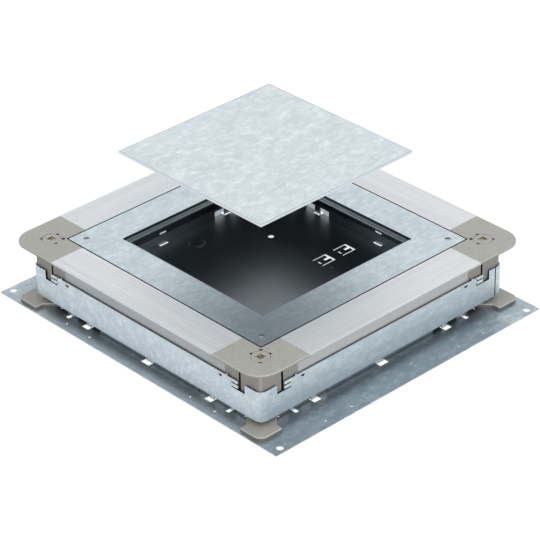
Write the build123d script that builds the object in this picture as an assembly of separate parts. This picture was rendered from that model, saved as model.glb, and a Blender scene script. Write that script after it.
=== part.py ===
from build123d import *
import math
import os

# Floor socket box for a screed floor. A sheet steel base carries four corner posts, four
# inner walls and a shuttering band. A square frame of aluminium edge profiles and moulded
# corner blocks rides on four levelling spindles, and a loose lid closes its opening.
# Sizes are millimetres, +Z is up, and the origin is the middle of the base's underside.

# The flush frame: every place below is worked inwards from its outer edge
FRAME_SIDE = 367.0
FRAME_CORNER_R = 23.4
HEIGHT_LOW = 73.3
LIFT = 51.7
FLANGE_T = 2.0
FLANGE_ROUND = 0.5
BLOCK_ROUND = 1.1

# The cover plate, its opening and the lid
RIM_WIDTH = 40.9
COVER_GAP = 1.5
COVER_T = 2.5
COVER_CORNER_R = 1.2
COVER_RIM = 38.3
LID_GAP = 0.3
LID_CORNER_R = 0.5
LID_RAISED = 100.4
LID_REST_GAP = 0.05
RAIL_STEP = 3.2
RAIL_LIP = 2.2
RAIL_HIDDEN = 14.0
RAIL_T = 1.5

# The ledge that carries the cover plate, and the walls below the flange
SEAT_RIB = 1.8
SEAT_WIDTH = 6.0
SEAT_T = 2.0
WALL_INSET = 17.3
WALL_T = 1.3
WALL_CLEAR = 1.3
GUIDE_RIB = 1.2
GUIDE_DROP = 0.5

# The moulded corner blocks
BLOCK_LENGTH = 65.9
BLOCK_PANEL = 19.1
BLOCK_SLOT = 2.6
TONGUE_GAP = 2.0
TONGUE_LENGTH = 14.0
TONGUE_ROOT = 7.0
TONGUE_WIDTH = 13.0
TONGUE_T = 2.3
INNER_SKIN_T = 1.3
SLEEVE_WALL = 2.9
SLEEVE_H = 5.0
SLEEVE_LIP = 1.5
SLEEVE_LIP_R = 8.0
VENT_INSET = 38.85
VENT_R = 1.9
VENT_WALL = 1.6
SCREW_INSET = 12.85
SCREW_BOSS_R = 4.5
SCREW_BOSS_H = 8.8
SEAT_PAD = 21.5
NOTCH_WIDE = 3.4
NOTCH_REACH = 1.6
NOTCH_DEEP = 5.0
NOTCH_COUNT = 3

# The base plate
PLATE_LONG = 410.0
BASE_T = 1.0
FIX_INSET_X = 11.3
FIX_INSET_Y = 6.9
FIX_R = 3.7
NAIL_INSET = 9.3
NAIL_R = 1.5
NAIL_PLACES = (75.0, 110.0)
DOT_INSETS = (24.8, 46.8)
DOT_R = 1.3
DRAIN_INSET = 93.0
DRAIN_R = 3.25

# Slots at the foot of the walls, given by how far in from a wall's end they are, and their widths
SLOT_OUTSET = 5.7
SLOT_DEPTH = 9.0
MIDDLE_SLOT = 12.0
END_SLOTS = ((49.8, 10.0), (22.3, 5.0))

# Cable tie lances, floor dimple and pimple
TIE_INSETS = (74.0, 44.5)
TIE_LENGTH = 19.0
TIE_LOW = 8.3
TIE_WIDTH = 16.2
TIE_CUT = 1.9
TIE_BAR = 3.0
TIE_PRONG = 6.5
TIE_PRONG_W = 4.0
TIE_EYE = (1.2, 4.6, 2.2, 5.6)
DIMPLE_X = 25.0
DIMPLE_INSET = 26.0
DIMPLE_R = 8.5
DIMPLE_TOP_R = 6.3
DIMPLE_H = 1.4
PIMPLE_INSET = 68.6
PIMPLE_Y = -0.5
PIMPLE_R = 1.6
PIMPLE_H = 0.7

# The inner walls of the base
INNER_GAP = 5.2
INNER_T = 1.0
INNER_END_GAP = 10.3
INNER_FOLD = 6.0
FOLD_SHORT = 7.8
FOLD_CLEAR = 0.5
ARCH_H = 8.0
ARCH_WIDTH = 35.0
END_ARCH = 16.8
MIDDLE_TAB = 8.0
END_TABS = (8.0, 3.0)
TAB_DROP = 0.8
KEY_SLOT = (9.4, 2.5)
KEY_SLOT_Z = 14.0

# The shuttering band, with places along each side given from its corner
BAND_GAP = 1.3
BAND_T = 1.0
BAND_R = 8.5
BAND_BOTTOM = 11.4
BAND_TOP = 44.7
NOTCH_END = 21.5
NOTCH_START = 30.9
NOTCH_BOTTOM = 35.2
FINGER_LENGTH = 9.0
FINGER_CUT = 2.0
FINGER_PITCH = 4.9
FINGER_LEAN = 0.7
NIB_PLACE = 46.5
NIB_WIDTH = 2.4
NIB_H = 1.5
MOON_PLACE = 55.5
MOON_WIDTH = 5.2
MOON_H = 2.4
MOON_DROP = 2.3
SEAM_PLACE = 12.1
SEAM_GAP = 1.4

# The corner posts with their feet
POST_T = 2.0
POST_R = 5.0
POST_CLEAR = 0.5
SHOULDER_INSET = 0.6
SHOULDER_LENGTH = 19.5
SHOULDER_LIP = 0.6
SHOULDER_RISE = 2.8
SHOULDER_SLOPE = 60.0
FOOT_INSET = 2.9
FOOT_SIDE = 29.3
FOOT_T = 4.1
FOOT_NECK_R = 14.2
FOOT_CORNER_R = 9.0
FOOT_END_R = 2.5
FOOT_WAIST_R = 3.0
FOOT_EDGE = 0.8
TOWER_R = 9.0
TOWER_BORE_R = 4.6
SKIN_CLEAR = 0.4

# The levelling spindles and what holds them
SPINDLE_INSET = 30.4
SPINDLE_R = 3.95
SPINDLE_CHAMFER = 0.5
SPINDLE_HOLD = 5.8
NECK_R = 3.0
HEAD_R = 3.5
HEAD_H = 2.6
HEAD_SUNK = 1.1
HEAD_SEAT_GAP = 0.05
RECESS_LONG = 5.4
RECESS_WIDE = 1.1
RECESS_DEEP = 1.5
BUSH_R = 9.45
BUSH_GAP = 0.3
BUSH_SUNK = 0.1
BUSH_HEAD_CLEAR = 0.2
BUSH_RUNNING = 0.07
MARK_LONG = 11.0
MARK_WIDE = 1.0
MARK_DEEP = 0.6
CLIP_R = 9.0
CLIP_T = 0.8
CLIP_GAP = 0.2
CLIP_PLAY = 0.05
CLIP_OPEN = 4.6
NUT_FLATS = 13.0
NUT_H = 6.5
NUT_DROP = 1.3
NUT_RUNNING = 0.05
NUT_POCKET_GAP = 0.1

# Screws
COVER_SCREW_R = 1.95
COVER_SCREW_HEAD_R = 3.1
COVER_SCREW_HEAD_H = 1.2
COVER_SCREW_SUNK = 1.0
COVER_SCREW_LENGTH = 12.0
FOOT_SCREW_NEAR = 7.6
FOOT_SCREW_FAR = 21.6
FOOT_SCREW_R = 1.6
FOOT_SCREW_HEAD_R = 3.4
FOOT_SCREW_HEAD_H = 1.9
FOOT_SCREW_SHORT = 0.8
SCREW_PLAY = 0.05
CROSS_LONG = 3.6
CROSS_WIDE = 0.9
CROSS_DEEP = 0.9

# Turns in degrees
QUARTER = 90
DIAGONAL = 45

# Levels and half widths that follow from the sizes above
FRAME_HALF = FRAME_SIDE / 2
SEAT_EDGE = FRAME_HALF - RIM_WIDTH
COVER_HALF = SEAT_EDGE - COVER_GAP
OPENING_HALF = COVER_HALF - COVER_RIM
LID_HALF = OPENING_HALF - LID_GAP
SEAT_OUT = SEAT_EDGE + SEAT_RIB
SEAT_IN = SEAT_EDGE - SEAT_WIDTH
FLANGE_Z = HEIGHT_LOW - FLANGE_T
COVER_Z = HEIGHT_LOW - COVER_T
SEAT_Z = COVER_Z - SEAT_T
GUIDE_Z = FLANGE_Z - TONGUE_T - GUIDE_DROP
WALL_FACE = FRAME_HALF - WALL_INSET
WALL_BOTTOM = BAND_BOTTOM + WALL_CLEAR
BAND_FACE = WALL_FACE + BAND_GAP + BAND_T
INNER_FACE = WALL_FACE - INNER_GAP
INNER_TOP = GUIDE_Z - FOLD_CLEAR
BLOCK_START = FRAME_HALF - BLOCK_LENGTH
PANEL_END = BLOCK_START + BLOCK_PANEL
POST_START = PANEL_END + BLOCK_SLOT
TONGUE_IN = SEAT_OUT + TONGUE_GAP
SLEEVE_Z = FLANGE_Z - SLEEVE_H
SKIN_FACE = WALL_FACE - POST_T - SKIN_CLEAR
SKIN_R = POST_R - POST_T - SKIN_CLEAR
PLATE_HALF_X = FRAME_HALF
PLATE_HALF_Y = PLATE_LONG / 2
FOOT_FACE = FRAME_HALF - FOOT_INSET
FOOT_INNER = FOOT_FACE - FOOT_SIDE
FOOT_TOP = BASE_T + FOOT_T
FOOT_SCREW_SPOT = (FOOT_FACE - FOOT_SCREW_NEAR, FOOT_FACE - FOOT_SCREW_FAR)
INNER_REACH = FOOT_INNER - INNER_END_GAP
SHOULDER_START = BAND_FACE - SHOULDER_LENGTH
POST_TOP = FLANGE_Z - POST_CLEAR
COVER_SCREW_PLACE = COVER_HALF - SCREW_INSET
VENT_PLACE = FRAME_HALF - VENT_INSET
SPINDLE_PLACE = FRAME_HALF - SPINDLE_INSET
BUSH_POCKET_R = BUSH_R + BUSH_GAP
SLEEVE_R = BUSH_POCKET_R + SLEEVE_WALL
BUSH_TOP = HEIGHT_LOW - BUSH_SUNK
HEAD_TOP = HEIGHT_LOW - HEAD_SUNK
HEAD_Z = HEAD_TOP - HEAD_H
BUSH_SEAT = HEAD_Z - HEAD_SEAT_GAP
CLIP_TOP = SLEEVE_Z - CLIP_GAP
NECK_Z = CLIP_TOP - CLIP_T - CLIP_PLAY
TOWER_TOP = NECK_Z - NUT_DROP
NUT_Z = TOWER_TOP - NUT_H
SPINDLE_FOOT = TOWER_TOP - SPINDLE_HOLD - LIFT
LID_TOP = HEIGHT_LOW + LID_RAISED + LID_REST_GAP

SIDES = ("right", "back", "left", "front")
CORNERS = ("back_right", "back_left", "front_left", "front_right")
OVER = 1.0


def block(x, y, z):
    """A box between three pairs of limits."""
    size = (x[1] - x[0], y[1] - y[0], z[1] - z[0])
    middle = ((x[0] + x[1]) / 2, (y[0] + y[1]) / 2, (z[0] + z[1]) / 2)
    return Pos(*middle) * Box(*size)


def square(half, radius, z):
    """A square pillar round the origin with rounded corners."""
    plan = RectangleRounded(2 * half, 2 * half, radius)
    return Pos(0, 0, z[0]) * extrude(plan, z[1] - z[0])


def square_ring(half, wall, radius, z):
    """A thin square tube with rounded corners and one wall thickness."""
    inside = (z[0] - OVER, z[1] + OVER)
    return square(half, radius, z) - square(half - wall, radius - wall, inside)


def pin(place, radius, z):
    """A round pillar that stands at a place between two levels."""
    shape = Cylinder(radius, z[1] - z[0], align=(Align.CENTER, Align.CENTER, Align.MIN))
    return Pos(place[0], place[1], z[0]) * shape


def turned(points, place):
    """A solid of revolution from (radius, level) points."""
    outline = Plane.XZ * make_face(Polyline(*points, close=True))
    return Pos(place[0], place[1], 0) * revolve(outline, Axis.Z)


def quarter(shape, step):
    """The same shape turned round the box by quarter turns."""
    return Rot(0, 0, QUARTER * step) * shape


def corner_region(start, z):
    """The part of space beyond a distance along both sides of the first corner."""
    far = FRAME_HALF + OVER
    return block((start, far), (start, far), z)


def solid_of(shape):
    """The single solid of a shape."""
    found = shape.solids()
    return found[0] if len(found) == 1 else shape


def tie_lance(start):
    """Cuts round one cable tie bridge in the floor."""
    deep = (-OVER, BASE_T + OVER)
    end = start + TIE_LENGTH
    top = TIE_LOW + TIE_WIDTH
    middle = TIE_LOW + TIE_WIDTH / 2
    cuts = block((start, end), (TIE_LOW, TIE_LOW + TIE_CUT), deep)
    cuts += block((start, end), (top - TIE_CUT, top), deep)
    cuts += block((end - TIE_BAR, end), (TIE_LOW, top), deep)
    prong = (middle - TIE_PRONG_W / 2, middle + TIE_PRONG_W / 2)
    cuts += block((end - TIE_BAR - TIE_PRONG, end), prong, deep)
    eye_x, eye_y, eye_wide, eye_long = TIE_EYE
    eye_row = TIE_LOW + eye_y
    cuts += block((start + eye_x, start + eye_x + eye_wide), (eye_row, eye_row + eye_long), deep)
    return cuts


def base_plate():
    """The floor sheet with its fixing holes, wall slots, cable tie lances and pressings."""
    whole = (-OVER, BASE_T + OVER)
    plate = block((-PLATE_HALF_X, PLATE_HALF_X), (-PLATE_HALF_Y, PLATE_HALF_Y), (0, BASE_T))
    holes = []
    for sx in (-1, 1):
        for sy in (-1, 1):
            corner = (sx * (PLATE_HALF_X - FIX_INSET_X), sy * (PLATE_HALF_Y - FIX_INSET_Y))
            holes.append(pin(corner, FIX_R, whole))
            drain = FRAME_HALF - DRAIN_INSET
            holes.append(pin((sx * drain, sy * drain), DRAIN_R, whole))
            dot = [FRAME_HALF - inset for inset in DOT_INSETS]
            for place in (dot, dot[::-1]):
                holes.append(pin((sx * place[0], sy * place[1]), DOT_R, whole))
            for along in NAIL_PLACES:
                holes.append(pin((sx * (PLATE_HALF_X - NAIL_INSET), sy * along), NAIL_R, whole))
                holes.append(pin((sx * along, sy * (PLATE_HALF_Y - NAIL_INSET)), NAIL_R, whole))
    slot_x = (INNER_FACE + SLOT_OUTSET - SLOT_DEPTH, INNER_FACE + SLOT_OUTSET)
    for step in range(4):
        for row in wall_rows([width for _, width in END_SLOTS], MIDDLE_SLOT):
            holes.append(quarter(block(slot_x, row, whole), step))
        for spot in (FOOT_SCREW_SPOT, FOOT_SCREW_SPOT[::-1]):
            holes.append(quarter(foot_screw(spot, SCREW_PLAY), step))
    for inset in TIE_INSETS:
        for step in (0, 2):
            holes.append(quarter(tie_lance(INNER_FACE - inset), step))
    dimple = Pos(DIMPLE_X, INNER_FACE - DIMPLE_INSET, 0)
    hollow = dimple * frustum(DIMPLE_R, DIMPLE_TOP_R, DIMPLE_H)
    plate -= holes
    plate += dimple * Pos(0, 0, BASE_T) * frustum(DIMPLE_R + BASE_T, DIMPLE_TOP_R + BASE_T, DIMPLE_H)
    plate -= hollow
    pimple = Pos(INNER_FACE - PIMPLE_INSET, PIMPLE_Y, BASE_T) * frustum(PIMPLE_R, PIMPLE_R / 2, PIMPLE_H)
    return plate + pimple


def frustum(low, high, height):
    """A cone with its point cut off, standing on its wide end."""
    return Cone(low, high, height, align=(Align.CENTER, Align.CENTER, Align.MIN))


def wall_rows(widths, middle):
    """The stretches along a wall that its slots or its tabs take, at its middle and both ends."""
    rows = [(-middle / 2, middle / 2)]
    for (inset, _), width in zip(END_SLOTS, widths):
        place = INNER_REACH - inset
        rows.append((place - width / 2, place + width / 2))
        rows.append((-place - width / 2, -place + width / 2))
    return rows


def foot_screw(spot, play):
    """A countersunk screw from below, or with play the hole that it needs."""
    head = FOOT_SCREW_HEAD_R + play
    shank = FOOT_SCREW_R + play
    length = FOOT_TOP - FOOT_SCREW_SHORT + play
    outline = [(0, 0), (head, 0), (shank, FOOT_SCREW_HEAD_H), (shank, length), (0, length)]
    return turned(outline, spot)


def cross_recess(spot, level):
    """The cross-shaped driver recess in a screw head, cut down from a level."""
    down = (level - CROSS_DEEP, level + OVER)
    long = (-CROSS_LONG / 2, CROSS_LONG / 2)
    wide = (-CROSS_WIDE / 2, CROSS_WIDE / 2)
    cut = block(long, wide, down) + block(wide, long, down)
    return Pos(spot[0], spot[1], 0) * cut


def foot_screws():
    """Eight countersunk screws that hold the feet to the base plate."""
    screws = []
    for step in range(4):
        for spot in (FOOT_SCREW_SPOT, FOOT_SCREW_SPOT[::-1]):
            screws.append(quarter(foot_screw(spot, 0), step))
    return Compound(children=[solid_of(screw) for screw in screws])


def inner_wall(step):
    """One wall of the base: a sheet with low arches, slot tabs and a folded top."""
    face = (INNER_FACE - INNER_T, INNER_FACE)
    wall = block(face, (-INNER_REACH, INNER_REACH), (BASE_T, INNER_TOP))
    fold = (INNER_FACE - INNER_FOLD, INNER_FACE)
    fold_reach = INNER_REACH - FOLD_SHORT
    wall += block(fold, (-fold_reach, fold_reach), (INNER_TOP - INNER_T, INNER_TOP))
    through = (face[0] - OVER, face[1] + OVER)
    middle = INNER_REACH - END_SLOTS[0][0]
    arches = ((middle - ARCH_WIDTH / 2, middle + ARCH_WIDTH / 2), (INNER_REACH - END_ARCH, INNER_REACH))
    for low, high in arches:
        for row in ((low, high), (-high, -low)):
            wall -= block(through, row, (0, BASE_T + ARCH_H))
    for row in wall_rows(END_TABS, MIDDLE_TAB):
        wall += block(face, row, (BASE_T - TAB_DROP, BASE_T + ARCH_H + OVER))
    width, height = KEY_SLOT
    key = (KEY_SLOT_Z - height / 2, KEY_SLOT_Z + height / 2)
    wall -= block(through, (-width / 2, width / 2), key)
    return quarter(wall, step)


def band_cuts():
    """The notch, finger slits and half-moon cut of the band at one end of one side."""
    through = (BAND_FACE - BAND_T - OVER, BAND_FACE + FINGER_LEAN + OVER)
    notch = (BAND_FACE - NOTCH_START, BAND_FACE - NOTCH_END)
    cuts = block(through, notch, (NOTCH_BOTTOM, BAND_TOP + NIB_H + OVER))
    for level in finger_levels():
        cuts += block(through, (notch[0] - FINGER_LENGTH, notch[0]), (level, level + FINGER_CUT))
    half = MOON_WIDTH / 2
    rim = ThreePointArc((-half, 0), (0, -MOON_H), (half, 0)) + Line((half, 0), (-half, 0))
    moon = Plane.YZ * make_face(rim)
    moon = Pos(through[0], BAND_FACE - MOON_PLACE, BAND_TOP - MOON_DROP) * moon
    return cuts + extrude(moon, through[1] - through[0])


def finger_levels():
    """The lower edges of the slits that part the fingers from the band."""
    return (NOTCH_BOTTOM, NOTCH_BOTTOM + FINGER_PITCH)


def band_fingers():
    """The outward lean of the fingers at one end of one side."""
    end = BAND_FACE - NOTCH_START
    fingers = []
    for level in finger_levels():
        low = level + FINGER_CUT
        high = min(level + FINGER_PITCH, BAND_TOP)
        lean = Polyline((BAND_FACE, low), (BAND_FACE + FINGER_LEAN, low), (BAND_FACE, high), close=True)
        fingers.append(Pos(0, end, 0) * extrude(Plane.XZ * make_face(lean), FINGER_LENGTH))
    return fingers


def shuttering_band():
    """The sheet band round the frame that keeps the screed out."""
    band = square_ring(BAND_FACE, BAND_T, BAND_R, (BAND_BOTTOM, BAND_TOP))
    face = (BAND_FACE - BAND_T, BAND_FACE)
    nib = (BAND_FACE - NIB_PLACE - NIB_WIDTH / 2, BAND_FACE - NIB_PLACE + NIB_WIDTH / 2)
    added = [block(face, nib, (BAND_TOP - OVER, BAND_TOP + NIB_H))] + band_fingers()
    cuts = band_cuts()
    for step in range(4):
        for shape in added:
            band += quarter(shape, step)
            band += quarter(mirror(shape, Plane.XZ), step)
    for step in range(4):
        band -= quarter(cuts, step)
        band -= quarter(mirror(cuts, Plane.XZ), step)
    seam = BAND_FACE - SEAM_PLACE
    gap = (seam - SEAM_GAP / 2, seam + SEAM_GAP / 2)
    front = (-BAND_FACE - OVER, -BAND_FACE + BAND_T + OVER)
    return band - block(gap, front, (BAND_BOTTOM - OVER, BAND_TOP + OVER))


def nearest(corners, point):
    """The corner of an outline that lies nearest to a point."""
    return min(corners, key=lambda corner: (corner.X - point[0]) ** 2 + (corner.Y - point[1]) ** 2)


def foot_plan():
    """The outline of a foot: a rounded square lobe, a neck and the round spindle base."""
    size = FOOT_FACE - FOOT_INNER
    middle = (FOOT_FACE + FOOT_INNER) / 2
    plan = Pos(middle, middle) * Rectangle(size, size)
    plan += Pos(SPINDLE_PLACE, SPINDLE_PLACE) * Circle(FOOT_NECK_R)
    neck = size / 2
    centre = SPINDLE_PLACE + neck / 2 / math.sqrt(2)
    plan += Pos(centre, centre) * Rot(0, 0, DIAGONAL) * Rectangle(neck, 2 * FOOT_NECK_R)
    plan = fillet(nearest(plan.vertices(), (FOOT_FACE, FOOT_FACE)), FOOT_CORNER_R)
    for tip in ((FOOT_FACE, FOOT_INNER), (FOOT_INNER, FOOT_FACE)):
        plan = fillet(nearest(plan.vertices(), tip), FOOT_END_R)
    waist = FOOT_INNER + math.sqrt(2) * FOOT_NECK_R
    for tip in ((waist, FOOT_INNER), (FOOT_INNER, waist)):
        plan = fillet(nearest(plan.vertices(), tip), FOOT_WAIST_R)
    return plan


def corner_post(step):
    """A foot with its spindle tower and the rounded post that guides the corner block."""
    here = (SPINDLE_PLACE, SPINDLE_PLACE)
    foot = Pos(0, 0, BASE_T) * extrude(foot_plan(), FOOT_T)
    foot = chamfer(foot.edges().group_by(Axis.Z)[-1], FOOT_EDGE)
    ledge = (FOOT_TOP - OVER, BAND_BOTTOM)
    lip_z = BAND_BOTTOM - SHOULDER_LIP
    wedge_z = lip_z - SHOULDER_RISE
    shrink = SHOULDER_RISE * math.tan(math.radians(SHOULDER_SLOPE))
    face, curve = BAND_FACE - SHOULDER_INSET, BAND_R - SHOULDER_INSET
    lip = square(face, curve, (lip_z, BAND_BOTTOM))
    plan = RectangleRounded(2 * face, 2 * face, curve)
    lip += Pos(0, 0, lip_z) * extrude(plan, SHOULDER_RISE, dir=(0, 0, -1), taper=SHOULDER_SLOPE)
    lip += square(face - shrink, curve - shrink, (ledge[0], wedge_z))
    foot += lip & corner_region(SHOULDER_START, ledge)
    tall = (BAND_BOTTOM - OVER, POST_TOP)
    foot += square_ring(WALL_FACE, POST_T, POST_R, tall) & corner_region(POST_START, tall)
    foot += pin(here, TOWER_R, (BASE_T, TOWER_TOP))
    foot -= pin(here, TOWER_BORE_R, (0, TOWER_TOP + OVER))
    pocket = RegularPolygon(NUT_FLATS / 2 + NUT_POCKET_GAP, 6, major_radius=False)
    foot -= Pos(*here, NUT_Z) * extrude(pocket, NUT_H + OVER)
    for spot in (FOOT_SCREW_SPOT, FOOT_SCREW_SPOT[::-1]):
        foot -= foot_screw(spot, SCREW_PLAY)
    return quarter(foot, step)


def spindle_nuts():
    """Four hexagon nuts that sit in the tops of the towers."""
    hexagon = RegularPolygon(NUT_FLATS / 2, 6, major_radius=False)
    nut = extrude(hexagon, NUT_H) - pin((0, 0), SPINDLE_R + NUT_RUNNING, (-OVER, NUT_H + OVER))
    placed = Pos(SPINDLE_PLACE, SPINDLE_PLACE, NUT_Z) * nut
    return Compound(children=[solid_of(quarter(placed, step)) for step in range(4)])


def edge_profile(step):
    """One extruded edge: top flange, cover seat, tongue guide and hanging wall."""
    wall_in = WALL_FACE - WALL_T
    guide_in = TONGUE_IN + TONGUE_WIDTH
    outline = [
        (FRAME_HALF, HEIGHT_LOW),
        (SEAT_EDGE, HEIGHT_LOW),
        (SEAT_EDGE, COVER_Z),
        (SEAT_IN, COVER_Z),
        (SEAT_IN, SEAT_Z),
        (SEAT_OUT, SEAT_Z),
        (SEAT_OUT, FLANGE_Z),
        (guide_in, FLANGE_Z),
        (guide_in, GUIDE_Z),
        (guide_in + GUIDE_RIB, GUIDE_Z),
        (guide_in + GUIDE_RIB, FLANGE_Z),
        (wall_in, FLANGE_Z),
        (wall_in, WALL_BOTTOM),
        (WALL_FACE, WALL_BOTTOM),
        (WALL_FACE, FLANGE_Z),
        (FRAME_HALF, FLANGE_Z),
    ]
    section = make_face(Polyline(*outline, close=True))
    section = fillet(nearest(section.vertices(), (FRAME_HALF, HEIGHT_LOW)), FLANGE_ROUND)
    return quarter(extrude(Plane.XZ * section, BLOCK_START, both=True), step)


def corner_block(step):
    """A moulded corner of the frame with its flange, panels, sleeve and tongues."""
    here = (SPINDLE_PLACE, SPINDLE_PLACE)
    flange = square(FRAME_HALF, FRAME_CORNER_R, (FLANGE_Z, HEIGHT_LOW))
    flange &= corner_region(BLOCK_START, (FLANGE_Z, HEIGHT_LOW))
    rim = flange.edges().group_by(Axis.Z)[-1]
    outer = [edge for edge in rim if edge.center().X > SEAT_OUT and edge.center().Y > SEAT_OUT]
    flange = fillet([edge for edge in outer if edge.length > BLOCK_ROUND], BLOCK_ROUND)
    flange -= block((0, SEAT_EDGE), (0, SEAT_EDGE), (COVER_Z, HEIGHT_LOW + OVER))
    span = (BLOCK_START, SEAT_OUT)
    seat = block(span, span, (SEAT_Z, FLANGE_Z))
    seat -= block((0, SEAT_EDGE), (0, SEAT_EDGE), (COVER_Z, HEIGHT_LOW))
    pad_start = SEAT_EDGE - SEAT_PAD
    seat -= block((0, SEAT_IN), (0, pad_start), (0, HEIGHT_LOW))
    seat -= block((0, pad_start), (0, SEAT_IN), (0, HEIGHT_LOW))
    body = flange + seat
    tall = (WALL_BOTTOM, FLANGE_Z)
    panel = block((WALL_FACE - WALL_T, WALL_FACE), (BLOCK_START, PANEL_END), tall)
    tongue_row = (BLOCK_START - TONGUE_LENGTH, BLOCK_START + TONGUE_ROOT)
    tongue = block((TONGUE_IN, TONGUE_IN + TONGUE_WIDTH), tongue_row, (FLANGE_Z - TONGUE_T, FLANGE_Z))
    for piece in (panel, tongue):
        body += piece
        body += mirror(piece, Plane((0, 0, 0), z_dir=(1, -1, 0)))
    skin = square_ring(SKIN_FACE, INNER_SKIN_T, SKIN_R, tall)
    body += skin & corner_region(POST_START, tall)
    inside = square(SKIN_FACE, SKIN_R, (SLEEVE_Z, FLANGE_Z))
    body += pin(here, SLEEVE_R, (SLEEVE_Z, FLANGE_Z)) & inside
    body += pin((VENT_PLACE, VENT_PLACE), VENT_R + VENT_WALL, (SLEEVE_Z, FLANGE_Z))
    screw_place = (COVER_SCREW_PLACE, COVER_SCREW_PLACE)
    body += pin(screw_place, SCREW_BOSS_R, (SEAT_Z - SCREW_BOSS_H, SEAT_Z))
    body -= pin(screw_place, COVER_SCREW_R + SCREW_PLAY, (0, HEIGHT_LOW))
    body -= pin((VENT_PLACE, VENT_PLACE), VENT_R, (0, HEIGHT_LOW + OVER))
    body -= pin(here, BUSH_POCKET_R, (SLEEVE_Z + SLEEVE_LIP, HEIGHT_LOW + OVER))
    body -= pin(here, SLEEVE_LIP_R, (0, HEIGHT_LOW))
    reach = (SLEEVE_LIP_R, BUSH_POCKET_R + NOTCH_REACH)
    bite = block(reach, (-NOTCH_WIDE / 2, NOTCH_WIDE / 2), (HEIGHT_LOW - NOTCH_DEEP, HEIGHT_LOW + OVER))
    for turn in range(NOTCH_COUNT):
        body -= Pos(*here, 0) * Rot(0, 0, DIAGONAL + turn * 360 / NOTCH_COUNT) * bite
    return quarter(body, step)


def cover_screw_outline(play):
    """Half the outline of a countersunk cover screw, from its tip up to the rim of its head."""
    top = HEIGHT_LOW - COVER_SCREW_SUNK
    neck = top - COVER_SCREW_HEAD_H
    foot = top - COVER_SCREW_LENGTH
    shank = COVER_SCREW_R + play
    return [(0, foot), (shank, foot), (shank, neck), (COVER_SCREW_HEAD_R + play, top)]


def cover_screws():
    """Four countersunk screws that hold the cover plate on the corner blocks."""
    spot = (COVER_SCREW_PLACE, COVER_SCREW_PLACE)
    top = HEIGHT_LOW - COVER_SCREW_SUNK
    screw = turned(cover_screw_outline(0) + [(0, top)], spot) - cross_recess(spot, top)
    return Compound(children=[solid_of(quarter(screw, step)) for step in range(4)])


def cover_plate():
    """The cover plate with its square opening and four countersunk holes."""
    plate = square(COVER_HALF, COVER_CORNER_R, (COVER_Z, HEIGHT_LOW))
    opening = (-OPENING_HALF, OPENING_HALF)
    plate -= block(opening, opening, (0, HEIGHT_LOW + OVER))
    high = HEIGHT_LOW + OVER
    rim = [(COVER_SCREW_HEAD_R + SCREW_PLAY, high), (0, high)]
    hole = turned(cover_screw_outline(SCREW_PLAY) + rim, (COVER_SCREW_PLACE, COVER_SCREW_PLACE))
    for step in range(4):
        plate -= quarter(hole, step)
    return plate


def mitred(inner, outer, z):
    """A bar along one side with both ends cut on the diagonals."""
    plan = Polyline((inner, -inner), (outer, -outer), (outer, outer), (inner, inner), close=True)
    return Pos(0, 0, z[0]) * extrude(make_face(plan), z[1] - z[0])


def lid_rail(step):
    """One stepped rail under the edge of the opening, which the lid comes to rest on."""
    step_edge = OPENING_HALF - RAIL_STEP
    lip_edge = step_edge - RAIL_LIP
    under = COVER_Z - RAIL_T
    rail = mitred(step_edge, OPENING_HALF + RAIL_HIDDEN, (under, COVER_Z))
    rail += mitred(lip_edge, OPENING_HALF, (under - RAIL_T, under))
    return quarter(rail, step)


def lid():
    """The loose lid, held up over the opening."""
    return square(LID_HALF, LID_CORNER_R, (LID_TOP - COVER_T, LID_TOP))


def crossed(shape):
    """A shape and its copy at a right angle, both turned to lie on the diagonals."""
    return Rot(0, 0, DIAGONAL) * shape + Rot(0, 0, DIAGONAL + QUARTER) * shape


def spindle(step):
    """A levelling spindle: shank, neck for the clip and the bush, and a riveted head."""
    outline = [
        (0, SPINDLE_FOOT),
        (SPINDLE_R - SPINDLE_CHAMFER, SPINDLE_FOOT),
        (SPINDLE_R, SPINDLE_FOOT + SPINDLE_CHAMFER),
        (SPINDLE_R, NECK_Z),
        (NECK_R, NECK_Z),
        (NECK_R, HEAD_Z),
        (HEAD_R, HEAD_Z),
        (HEAD_R, HEAD_TOP),
        (0, HEAD_TOP),
    ]
    down = (HEAD_TOP - RECESS_DEEP, HEAD_TOP + OVER)
    slot = block((-RECESS_LONG / 2, RECESS_LONG / 2), (-RECESS_WIDE / 2, RECESS_WIDE / 2), down)
    screw = turned(outline, (0, 0)) - crossed(slot)
    return quarter(Pos(SPINDLE_PLACE, SPINDLE_PLACE, 0) * screw, step)


def spindle_clip(step):
    """The open ring on the spindle's shoulder that the bush and its sleeve rest on."""
    level = (CLIP_TOP - CLIP_T, CLIP_TOP)
    ring = pin((0, 0), CLIP_R, level) - pin((0, 0), NECK_R + CLIP_PLAY, (0, HEIGHT_LOW))
    ring -= block((0, CLIP_R + OVER), (-CLIP_OPEN / 2, CLIP_OPEN / 2), (0, HEIGHT_LOW))
    return quarter(Pos(SPINDLE_PLACE, SPINDLE_PLACE, 0) * ring, step)


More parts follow.
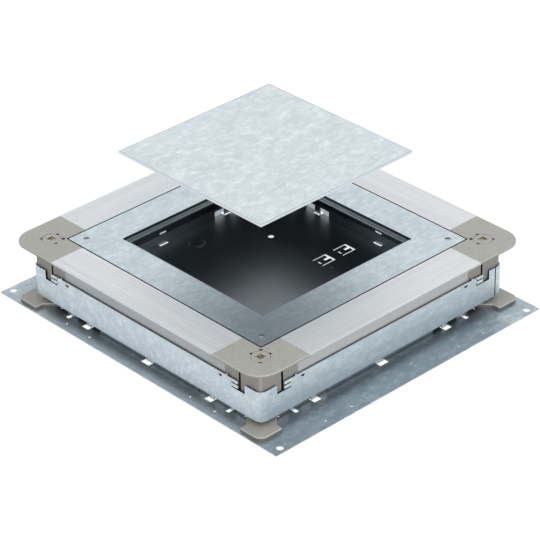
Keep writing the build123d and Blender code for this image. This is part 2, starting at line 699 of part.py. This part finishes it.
def spindle_bush(step):
    """The round insert in a corner block that the spindle's neck turns in."""
    step_z = SLEEVE_Z + SLEEVE_LIP
    outline = [
        (NECK_R + BUSH_RUNNING, SLEEVE_Z),
        (SLEEVE_LIP_R - BUSH_GAP, SLEEVE_Z),
        (SLEEVE_LIP_R - BUSH_GAP, step_z),
        (BUSH_R, step_z),
        (BUSH_R, BUSH_TOP),
        (HEAD_R + BUSH_HEAD_CLEAR, BUSH_TOP),
        (HEAD_R + BUSH_HEAD_CLEAR, BUSH_SEAT),
        (NECK_R + BUSH_RUNNING, BUSH_SEAT),
    ]
    down = (BUSH_TOP - MARK_DEEP, BUSH_TOP + OVER)
    mark = block((-MARK_LONG / 2, MARK_LONG / 2), (-MARK_WIDE / 2, MARK_WIDE / 2), down)
    bush = turned(outline, (0, 0)) - crossed(mark)
    return quarter(Pos(SPINDLE_PLACE, SPINDLE_PLACE, 0) * bush, step)


def save(shape, name):
    """Write one node, named for what it is."""
    export_step(shape, "parts/" + name + ".step")


os.makedirs("parts", exist_ok=True)
save(base_plate(), "base_plate")
save(foot_screws(), "foot_screws")
save(spindle_nuts(), "spindle_nuts")
save(shuttering_band(), "shuttering_band")
save(cover_plate(), "cover_plate")
save(cover_screws(), "cover_screws")
save(lid(), "lid")
for number, side in enumerate(SIDES):
    save(inner_wall(number), "inner_wall_" + side)
    save(edge_profile(number), "edge_profile_" + side)
    save(lid_rail(number), "lid_rail_" + side)
for number, corner in enumerate(CORNERS):
    save(corner_post(number), "corner_post_" + corner)
    save(corner_block(number), "corner_block_" + corner)
    save(spindle(number), "spindle_" + corner)
    save(spindle_clip(number), "spindle_clip_" + corner)
    save(spindle_bush(number), "spindle_bush_" + corner)
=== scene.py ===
# %% [markdown]
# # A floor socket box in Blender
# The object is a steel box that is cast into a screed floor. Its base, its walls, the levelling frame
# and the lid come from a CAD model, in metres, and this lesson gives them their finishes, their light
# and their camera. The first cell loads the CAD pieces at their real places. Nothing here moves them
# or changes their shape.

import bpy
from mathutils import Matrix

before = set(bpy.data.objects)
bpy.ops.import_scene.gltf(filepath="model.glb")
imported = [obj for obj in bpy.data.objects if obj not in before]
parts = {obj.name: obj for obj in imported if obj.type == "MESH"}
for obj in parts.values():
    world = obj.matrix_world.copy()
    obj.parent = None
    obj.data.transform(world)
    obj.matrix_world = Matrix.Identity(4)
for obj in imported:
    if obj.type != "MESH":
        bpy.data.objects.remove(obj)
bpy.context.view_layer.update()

import math

import bpy
from mathutils import Matrix, Vector

# %% [markdown]
# ## Shader sums as plain Python
# A finish needs many small sums, such as a mask times a strength. Each could be placed by hand as a Math
# node, but that hides the formula. A small class wraps a node's output and turns the usual operators
# into Math nodes, so a sum reads as it would on paper. Every other node comes from one method, which
# takes its settings and its inputs.

# %% A wire that can be added, subtracted and multiplied
class Wire:
    def __init__(self, finish, socket):
        self.finish = finish
        self.socket = socket

    def sum(self, kind, first, second):
        return self.finish.node("ShaderNodeMath", {"operation": kind}, {0: first, 1: second})

    def __add__(self, other):
        return self.sum("ADD", self, other)

    def __radd__(self, other):
        return self.sum("ADD", other, self)

    def __sub__(self, other):
        return self.sum("SUBTRACT", self, other)

    def __rsub__(self, other):
        return self.sum("SUBTRACT", other, self)

    def __mul__(self, other):
        return self.sum("MULTIPLY", self, other)

    def __rmul__(self, other):
        return self.sum("MULTIPLY", other, self)

    def at_most(self, other):
        return self.sum("MINIMUM", self, other)

    def at_least(self, other):
        return self.sum("MAXIMUM", self, other)

    def held(self):
        """The same value, kept between nought and one."""
        return self.at_least(0.0).at_most(1.0)

    def size(self):
        return self.finish.node("ShaderNodeMath", {"operation": "ABSOLUTE"}, {0: self})


print("operators ready")


# %% A finish that makes its own nodes
class Nodes:
    """A tree that starts empty and gets every node from one method."""

    def __init__(self, tree):
        self.tree = tree
        self.tree.nodes.clear()

    def node(self, kind, settings=None, values=None, out=0):
        made = self.tree.nodes.new(kind)
        for key, value in (settings or {}).items():
            if key == "stops":
                self.ramp(made.color_ramp, value)
            else:
                setattr(made, key, value)
        for key, value in (values or {}).items():
            self.feed(made.inputs[key], value)
        return Wire(self, made.outputs[out]) if made.outputs else None

    def ramp(self, ramp, stops):
        while len(ramp.elements) < len(stops):
            ramp.elements.new(0.5)
        for element, (place, shade) in zip(ramp.elements, stops):
            element.position = place
            element.color = (shade, shade, shade, 1)

    def feed(self, socket, value):
        if isinstance(value, Wire):
            self.tree.links.new(value.socket, socket)
        else:
            socket.default_value = value


class Finish(Nodes):
    """A material with a Principled shader as its skin."""

    def __init__(self, name):
        self.material = bpy.data.materials.new(name)
        self.material.use_nodes = True
        super().__init__(self.material.node_tree)

    def mix(self, mask, first, second):
        return self.node("ShaderNodeMix", {"data_type": "RGBA"}, {0: mask, 6: first, 7: second}, out=2)

    def place(self, stretch=(1, 1, 1)):
        """The point on the object, in metres, stretched along its axes."""
        spot = self.node("ShaderNodeTexCoord", out=3)
        return self.node("ShaderNodeMapping", {}, {"Vector": spot, "Scale": stretch})

    def axes(self, out):
        """X, Y and Z of the point on the object, or of the way its face looks."""
        vector = self.node("ShaderNodeTexCoord", out=out)
        return [self.node("ShaderNodeSeparateXYZ", {}, {"Vector": vector}, out=number) for number in range(3)]

    def noise(self, spot, scale, detail=3.0, rough=0.5, bend=0.0):
        values = {"Vector": spot, "Scale": scale, "Detail": detail, "Roughness": rough, "Distortion": bend}
        return self.node("ShaderNodeTexNoise", {}, values)

    def bump(self, height, distance, strength=1.0):
        values = {"Height": height, "Distance": distance, "Strength": strength}
        return self.node("ShaderNodeBump", {}, values)

    def skin(self, values):
        shader = self.node("ShaderNodeBsdfPrincipled", {}, values)
        self.node("ShaderNodeOutputMaterial", {}, {"Surface": shader})
        return self.material


def shade(red, green, blue):
    return (red, green, blue, 1.0)


print("finish maker ready")

# %% [markdown]
# ## Masks by place and by direction
# One finish often has to change from face to face: a sheet's cut edge gets a painted highlight or a
# painted shade, and the faces that look into the box get painted shade. A picture could say where, but
# the object itself knows. Its points and the way its faces look are enough for a sum that is one on the
# faces that change and nought on the others. Narrow gaps can't be told by place, so those masks ask how
# much of the open air a point sees, and the gaps get a painted shade, nearly black.

# %% Masks that the object draws itself
POINT, LOOK = 3, 1
INSIDE_HALF, INSIDE_FADE, INSIDE_SHARE = 0.1606, 0.002, 0.85
BEHIND_HALF, BEHIND_FADE = 0.1645, 0.003
MARGIN_START, MARGIN_END, MARGIN_SHARE = 0.167, 0.170, 0.45
FOOT_TOP = 0.012
SLIT_TOP = 0.044
FACE_STEP = 8.0
CREVICE_STEP = 3.5
GAP_REACH, GAP_START = 0.003, 0.62
FOOT_REACH, FOOT_START = 0.006, 0.55


def within(finish, half, fade):
    """One where a point lies inside a square round the middle, and nought outside it."""
    x, y, _ = finish.axes(POINT)
    return ((half - x.size().at_least(y.size())) * (1.0 / fade)).held()


def inside_walls(finish):
    return within(finish, INSIDE_HALF, INSIDE_FADE) * INSIDE_SHARE


def behind_band(finish):
    return within(finish, BEHIND_HALF, BEHIND_FADE)


def sides(finish):
    return ((0.5 - finish.axes(LOOK)[2].size()) * FACE_STEP).held()


def tops(finish):
    return ((finish.axes(LOOK)[2] - 0.7) * FACE_STEP).held()


def undersides(finish):
    return ((-0.5 - finish.axes(LOOK)[2]) * FACE_STEP).held()


def crevice(finish, reach, start):
    """One where other faces stand close round a point, so that little light gets there."""
    free = finish.node("ShaderNodeAmbientOcclusion", {"samples": 8}, {"Distance": reach}, out="AO")
    return ((start - free) * CREVICE_STEP).held()


def narrow_gap(finish):
    return crevice(finish, GAP_REACH, GAP_START)


def side_margins(finish):
    """Part of the way to one on the plate's narrow margins along the left and right sides."""
    x, y, _ = [part.size() for part in finish.axes(POINT)]
    return ((x - MARGIN_START) * 150.0).held() * ((MARGIN_END - y) * 60.0).held() * MARGIN_SHARE


def foot_shade(finish):
    return crevice(finish, FOOT_REACH, FOOT_START)


def above(finish, level):
    return ((finish.axes(POINT)[2] - level) * 2000.0).held()


def corners(finish):
    """One on the upright faces that look out over a corner, where the rounding gets a painted highlight."""
    x, y, _ = [part.size() for part in finish.axes(LOOK)]
    return ((x * y - 0.36) * 9.0).held()


def slot_sides(finish):
    """One on the faces that look along a side of the box, above the feet."""
    x, y, _ = [part.size() for part in finish.axes(POINT)]
    look_x, look_y, _ = [part.size() for part in finish.axes(LOOK)]
    along = x * (look_y - look_x) + y * (look_x - look_y)
    return (along * 150.0 - 0.5).held() * above(finish, FOOT_TOP)


def slit_floors(finish):
    """One on the cut edges below the top of the band."""
    return tops(finish) * (1.0 - above(finish, SLIT_TOP))


def facing_in(finish):
    """One on the faces that look towards the middle of the box."""
    x, y, _ = finish.axes(POINT)
    look_x, look_y, _ = finish.axes(LOOK)
    return ((x * look_x + y * look_y) * -30.0).held() * above(finish, FOOT_TOP)


print("masks ready")

# %% [markdown]
# ## Galvanised steel
# Steel that was dipped in zinc shows pale, wispy crystals on a cool grey ground. It could be a photo
# texture, but a procedural one stays sharp and needs no file. A bent noise, drawn out along the sheet's
# rolling direction, makes the flakes, a finer one frays them into feathers, and a coarse one makes the
# cloudy drift between them. The finish is mostly metal, so it mirrors what is round it: the sheet looks
# white where it faces the open studio and dark where it faces the inside of the box, and on top of that
# the faces that look into the box and the narrow gaps get painted shade. Each sheet also has painted light
# and shade, laid over the zinc by masks: the cut edges get a painted highlight or a painted shade, and the
# base plate, for one, has painted light on its side margins and painted shade behind the band, inside the
# walls and round the feet.

# %% The zinc finish
FLAKE_SCALE = 135.0
FEATHER_SCALE = 380.0
CLOUD_SCALE = 42.0
# Near-black painted shade for narrow gaps, slits, slots and faces that look into the box.
PAINTED_SHADE = shade(0.02, 0.022, 0.025)
ZINC_GRAIN = 900.0
LID_HALF = 0.1025
RIM_LINE = 0.0009
RIM_FADE = 0.0004


def lid_rim(finish):
    """One on the last millimetre of the lid, which the finish paints darker."""
    return 1.0 - within(finish, LID_HALF - RIM_LINE, RIM_FADE)


def galvanised(name, ground, wisp, roughness, metal=1.0, painted_light_and_shade=()):
    finish = Finish(name)
    spot = finish.place((0.62, 1.0, 1.1))
    flakes = finish.noise(spot, FLAKE_SCALE, detail=8.0, rough=0.76, bend=0.4)
    flakes = finish.node("ShaderNodeValToRGB", {"stops": ((0.46, 0.0), (0.65, 1.0))}, {"Fac": flakes})
    feathers = finish.noise(spot, FEATHER_SCALE, detail=2.0, rough=0.6, bend=0.3)
    clouds = finish.noise(spot, CLOUD_SCALE, detail=3.0, rough=0.6, bend=0.2)
    mask = (flakes * (feathers * 1.4 + 0.1) + (clouds - 0.5) * 0.9 + 0.15).held()
    grain = finish.noise(spot, ZINC_GRAIN, detail=1.0)
    colour = finish.mix(mask, ground, wisp)
    # Painted light and shade, each laid over the zinc by its mask.
    for where, painted_tone in painted_light_and_shade:
        colour = finish.mix(where(finish), colour, painted_tone)
    return finish.skin({
        "Base Color": colour,
        "Metallic": metal,
        "Roughness": roughness + (grain - 0.5) * 0.10 - mask * 0.06,
        "Normal": finish.bump(flakes * 0.5 + grain * 0.12, 0.00012, 0.25),
    })


# The lid's sides get a painted highlight, its undersides a painted shade, and its last millimetre is painted
# darker.
zinc_lid = galvanised(
    "zinc_lid", shade(0.59, 0.665, 0.70), shade(0.79, 0.865, 0.90), 0.34, 1.0,
    ((lid_rim, shade(0.47, 0.53, 0.56)), (sides, shade(0.66, 0.72, 0.75)),
     (undersides, shade(0.50, 0.54, 0.56))))
# The cover plate's cut sides and its narrow gaps get a painted shade.
zinc_plate = galvanised(
    "zinc_plate", shade(0.50, 0.585, 0.63), shade(0.68, 0.765, 0.81), 0.36, 1.0,
    ((sides, shade(0.08, 0.09, 0.095)), (narrow_gap, PAINTED_SHADE)))
# The band's top cut edges get a painted highlight; its slits, its faces towards the middle and its narrow
# gaps get a painted shade.
zinc_sheet = galvanised(
    "zinc_sheet", shade(0.52, 0.60, 0.65), shade(0.71, 0.80, 0.85), 0.42, 0.75,
    ((tops, shade(0.93, 0.97, 0.98)), (slit_floors, PAINTED_SHADE), (facing_in, PAINTED_SHADE), (narrow_gap, PAINTED_SHADE)))
# The base plate gets painted light on its side margins and painted shade behind the band, inside the walls
# and round the feet.
zinc_floor = galvanised(
    "zinc_floor", shade(0.35, 0.435, 0.49), shade(0.60, 0.68, 0.73), 0.40, 0.75,
    ((side_margins, shade(0.90, 0.98, 1.0)), (behind_band, shade(0.18, 0.215, 0.235)),
     (inside_walls, shade(0.295, 0.335, 0.355)), (foot_shade, PAINTED_SHADE)))
# The inner walls get a painted shade on the faces that look towards the middle.
zinc_inner = galvanised(
    "zinc_inner", shade(0.34, 0.39, 0.42), shade(0.44, 0.49, 0.52), 0.40, 1.0,
    ((facing_in, shade(0.13, 0.15, 0.165)),))
print(zinc_lid.name, zinc_plate.name, zinc_sheet.name, zinc_floor.name, zinc_inner.name)

# %% [markdown]
# ## Extruded aluminium
# An extruded bar carries fine lines along its length, left by the die. Anisotropic shading would do it,
# but very long and narrow noise in the colour, the roughness and a faint bump shows the single lines as
# well. The bars run along X or along Y, so the finish is made once for each direction. The upright walls
# get a painted shade, lighter on the bars along X than on those along Y, and the faces that look towards
# the middle or into narrow gaps get a near-black painted shade.

# %% The die lines
LINE_SCALE = 800.0
BAND_SCALE = 130.0
LINE_STRETCH = 0.012


def extruded(name, stretch, wall_shade_low, wall_shade_high):
    finish = Finish(name)
    spot = finish.place(stretch)
    lines = finish.noise(spot, LINE_SCALE, detail=3.0, rough=0.7)
    bands = finish.noise(spot, BAND_SCALE, detail=1.0)
    mask = ((lines - 0.5) * 2.4 + (bands - 0.5) * 0.9 + 0.5).held()
    flange = finish.mix(mask, shade(0.75, 0.78, 0.805), shade(0.91, 0.94, 0.96))
    wall = finish.mix(mask, wall_shade_low, wall_shade_high)
    # Painted shade, near black, on faces towards the middle and in narrow gaps; the walls take the painted
    # shade of their direction.
    painted_shade_mask = facing_in(finish).at_least(narrow_gap(finish))
    return finish.skin({
        "Base Color": finish.mix(painted_shade_mask, finish.mix(sides(finish), flange, wall), PAINTED_SHADE),
        "Metallic": 0.5,
        "Roughness": 0.40 + lines * 0.14,
        "Normal": finish.bump(lines, 0.00006, 0.35),
    })


# Each direction gets its own painted shade on the upright walls: lighter along X, darker along Y.
bar_along_x = extruded(
    "aluminium_along_x", (LINE_STRETCH, 1.0, 1.0), shade(0.48, 0.495, 0.505), shade(0.60, 0.615, 0.625))
bar_along_y = extruded(
    "aluminium_along_y", (1.0, LINE_STRETCH, 1.0), shade(0.39, 0.42, 0.445), shade(0.52, 0.55, 0.575))
print(bar_along_x.name, bar_along_y.name)

# %% [markdown]
# ## Moulded corners and feet
# The corner blocks, posts and bushes are moulded in a warm grey plastic with a fine eroded grain. A
# plain colour would look like paint, so a very fine noise moves the colour and the height a little. The
# upright walls get a painted shade darker than the tops, darker still on the sides of the feet, with a
# painted highlight where they round a corner, and the rounded upper edges get a painted highlight. The
# slots, the faces that look towards the middle and the narrow gaps get a near-black painted shade.

# %% The moulded plastic
PLASTIC_GRAIN = 700.0
PLASTIC_DRIFT = 60.0
CORNER_HIGHLIGHT = shade(0.45, 0.44, 0.405)
FOOT_SIDE_SHADE = shade(0.23, 0.22, 0.20)


def moulded(name, dark, light, side, edge):
    finish = Finish(name)
    spot = finish.place()
    grain = finish.noise(spot, PLASTIC_GRAIN, detail=3.0, rough=0.7)
    drift = finish.noise(spot, PLASTIC_DRIFT, detail=2.0)
    mask = ((grain - 0.5) * 2.1 + (drift - 0.5) * 0.4 + 0.5).held()
    rise = finish.axes(LOOK)[2]
    colour = finish.mix(mask, dark, light)
    # Painted shade on the upright walls.
    colour = finish.mix(sides(finish), colour, finish.mix(mask, side[0], side[1]))
    # Painted highlight where the walls round a corner, and a darker painted shade on the sides of the feet.
    colour = finish.mix(corners(finish) * above(finish, FOOT_TOP), colour, CORNER_HIGHLIGHT)
    colour = finish.mix(sides(finish) * (1.0 - above(finish, FOOT_TOP)), colour, FOOT_SIDE_SHADE)
    # Painted highlight on the rounded upper edges.
    rounded = ((rise - 0.3) * 6.0).held() * ((0.93 - rise) * 12.0).held()
    colour = finish.mix(rounded, colour, edge)
    # Near-black painted shade in the slots, on faces towards the middle and in narrow gaps.
    for where in (slot_sides, facing_in, narrow_gap):
        colour = finish.mix(where(finish), colour, PAINTED_SHADE)
    return finish.skin({
        "Base Color": colour,
        "Metallic": 0.0,
        "Roughness": 0.36 + grain * 0.14,
        "Normal": finish.bump(grain, 0.00008, 0.3),
        "Specular IOR Level": 0.5,
    })


# The side pair is the painted shade of the upright walls, and the last tone the painted highlight of the
# rounded edges.
plastic = moulded(
    "grey_plastic", shade(0.455, 0.45, 0.415), shade(0.64, 0.635, 0.59),
    (shade(0.31, 0.30, 0.275), shade(0.41, 0.40, 0.37)), shade(0.70, 0.695, 0.65))
print(plastic.name)

# %% [markdown]
# ## Screws, nuts, spindles and rails
# Small steel parts are zinc plated. The spindles went through a yellow bath, which gives them their
# straw colour, the cover screws are a duller grey like their plate, and the rails under it are plain
# darker steel. They are small, so one simple recipe serves them all.

# %% The plated steels
STAIN_SCALE = 160.0


def plated(name, low, high, roughness):
    finish = Finish(name)
    stain = finish.noise(finish.place(), STAIN_SCALE, detail=3.0)
    return finish.skin({
        "Base Color": finish.mix(stain, low, high),
        "Metallic": 1.0,
        "Roughness": roughness + stain * 0.1,
    })


yellow_zinc = plated("yellow_zinc", shade(0.56, 0.48, 0.31), shade(0.74, 0.67, 0.49), 0.30)
bright_zinc = plated("bright_zinc", shade(0.50, 0.52, 0.54), shade(0.66, 0.68, 0.70), 0.28)
dull_zinc = plated("dull_zinc", shade(0.76, 0.83, 0.87), shade(0.88, 0.94, 0.97), 0.42)
rail_steel = plated("rail_steel", shade(0.32, 0.37, 0.40), shade(0.42, 0.48, 0.51), 0.34)
print(yellow_zinc.name, bright_zinc.name, dull_zinc.name, rail_steel.name)

# %% [markdown]
# ## Dressing the pieces
# Each CAD piece keeps its mesh and gets one finish. The names say what a piece is, so the start of a
# name picks its finish, and the bars get the one whose lines run along them.

# %% Which piece wears which finish
WARDROBE = {
    "base_plate": zinc_floor,
    "inner_wall": zinc_inner,
    "shuttering_band": zinc_sheet,
    "cover_plate": zinc_plate,
    "lid_rail": rail_steel,
    "lid": zinc_lid,
    "corner_post": plastic,
    "corner_block": plastic,
    "spindle_bush": plastic,
    "spindle_clip": bright_zinc,
    "spindle_nuts": bright_zinc,
    "spindle_": yellow_zinc,
    "cover_screws": dull_zinc,
    "foot_screws": bright_zinc,
    "edge_profile_right": bar_along_y,
    "edge_profile_left": bar_along_y,
    "edge_profile_back": bar_along_x,
    "edge_profile_front": bar_along_x,
}


def dress(piece, material):
    if not piece.material_slots:
        piece.data.materials.append(material)
    for slot in piece.material_slots:
        slot.material = material


for name, piece in parts.items():
    start = max((s for s in WARDROBE if name.startswith(s)), key=len)
    dress(piece, WARDROBE[start])
print("dressed", len(parts))

# %% [markdown]
# ## Floor and sky
# The object stands on a plain white floor under a white sky. Light Path tells the shader who is looking:
# the camera and mirrors see pure white, while the light that falls on matt surfaces stays at a plain
# level. The floor adds a little real light to its glow, so that the object still leaves a faint shadow
# on it.

# %% The white studio
SKY_LIGHT = 0.38
FLOOR_GLOW = 0.93
FLOOR_SIDE = 12.0
FLOOR_DROP = 0.0004


def who_looks(finish):
    looks = finish.node("ShaderNodeLightPath", out="Is Camera Ray")
    looks = looks + finish.node("ShaderNodeLightPath", out="Is Glossy Ray")
    looks = looks + finish.node("ShaderNodeLightPath", out="Is Transmission Ray")
    return looks.at_most(1.0)


floor_finish = Finish("white_floor")
glow = floor_finish.node("ShaderNodeEmission", {}, {"Color": shade(1, 1, 1), "Strength": FLOOR_GLOW})
veil = floor_finish.node("ShaderNodeBsdfDiffuse", {}, {"Color": shade(0.25, 0.25, 0.25)})
matt = floor_finish.node("ShaderNodeBsdfDiffuse", {}, {"Color": shade(0.80, 0.80, 0.80)})
seen = floor_finish.node("ShaderNodeAddShader", {}, {0: glow, 1: veil})
floor_mix = floor_finish.node("ShaderNodeMixShader", {}, {0: who_looks(floor_finish), 1: matt, 2: seen})
floor_finish.node("ShaderNodeOutputMaterial", {}, {"Surface": floor_mix})

bpy.ops.mesh.primitive_plane_add(size=FLOOR_SIDE, location=(0, 0, -FLOOR_DROP))
floor = bpy.context.object
floor.name = "floor"
dress(floor, floor_finish.material)
print("floor at", round(floor.location.z, 5))

# %% The sky
scene = bpy.context.scene
scene.world = bpy.data.worlds.new("studio")
scene.world.use_nodes = True
sky = Nodes(scene.world.node_tree)
level = SKY_LIGHT + who_looks(sky) * (1.0 - SKY_LIGHT)
ground = sky.node("ShaderNodeBackground", {}, {"Color": shade(1, 1, 1), "Strength": level})
sky.node("ShaderNodeOutputWorld", {}, {"Surface": ground})
print("sky", SKY_LIGHT)

# %% [markdown]
# ## Lamps
# A large soft lamp hangs over the object and makes its upper faces brighter than its sides. A second one
# stands low in front and lights the walls. Small lamps would throw hard shadows that the studio picture
# doesn't have.

# %% Hang the lamps
def soft_lamp(name, spot, target, side, power):
    lamp = bpy.data.lights.new(name, "AREA")
    lamp.shape = "SQUARE"
    lamp.size = side
    lamp.energy = power
    holder = bpy.data.objects.new(name, lamp)
    scene.collection.objects.link(holder)
    holder.location = spot
    holder.rotation_mode = "QUATERNION"
    holder.rotation_quaternion = (Vector(target) - Vector(spot)).to_track_quat("-Z", "Y")
    holder.visible_glossy = False
    return holder


soft_lamp("overhead", spot=(-0.10, -0.35, 1.8), target=(0, 0, 0.05), side=1.3, power=10.0)
soft_lamp("front", spot=(-1.05, -1.95, 0.55), target=(0, 0, 0.04), side=0.9, power=11.0)
print("lamps", len(bpy.data.lights))

# %% [markdown]
# ## Camera
# The picture was taken with a long lens from the front left corner, about 31 degrees above the floor.
# The direction, the distance and the small roll are turned into a matrix, whose columns are the camera's
# own axes.

# %% Set up the camera
AROUND, ABOVE, ROLL = (math.radians(v) for v in (-43.012, 31.171, -0.975))
TARGET = Vector((0.002764, -0.001067, 0.036))
DISTANCE = 2.696
LENS = 177.68

back = Vector((math.sin(AROUND) * math.cos(ABOVE), -math.cos(AROUND) * math.cos(ABOVE), math.sin(ABOVE)))
level_right = Vector((math.cos(AROUND), math.sin(AROUND), 0))
level_up = back.cross(level_right)
right = level_right * math.cos(ROLL) + level_up * math.sin(ROLL)
up = level_up * math.cos(ROLL) - level_right * math.sin(ROLL)

lens = bpy.data.cameras.new("studio_camera")
lens.lens = LENS
lens.sensor_width = 36.0
lens.clip_end = 50.0
camera = bpy.data.objects.new("studio_camera", lens)
scene.collection.objects.link(camera)
turn = Matrix((right, up, back)).transposed().to_4x4()
camera.matrix_world = Matrix.Translation(TARGET + back * DISTANCE) @ turn
scene.camera = camera
scene.view_settings.view_transform = "Standard"
print("camera", [round(v, 3) for v in camera.location])
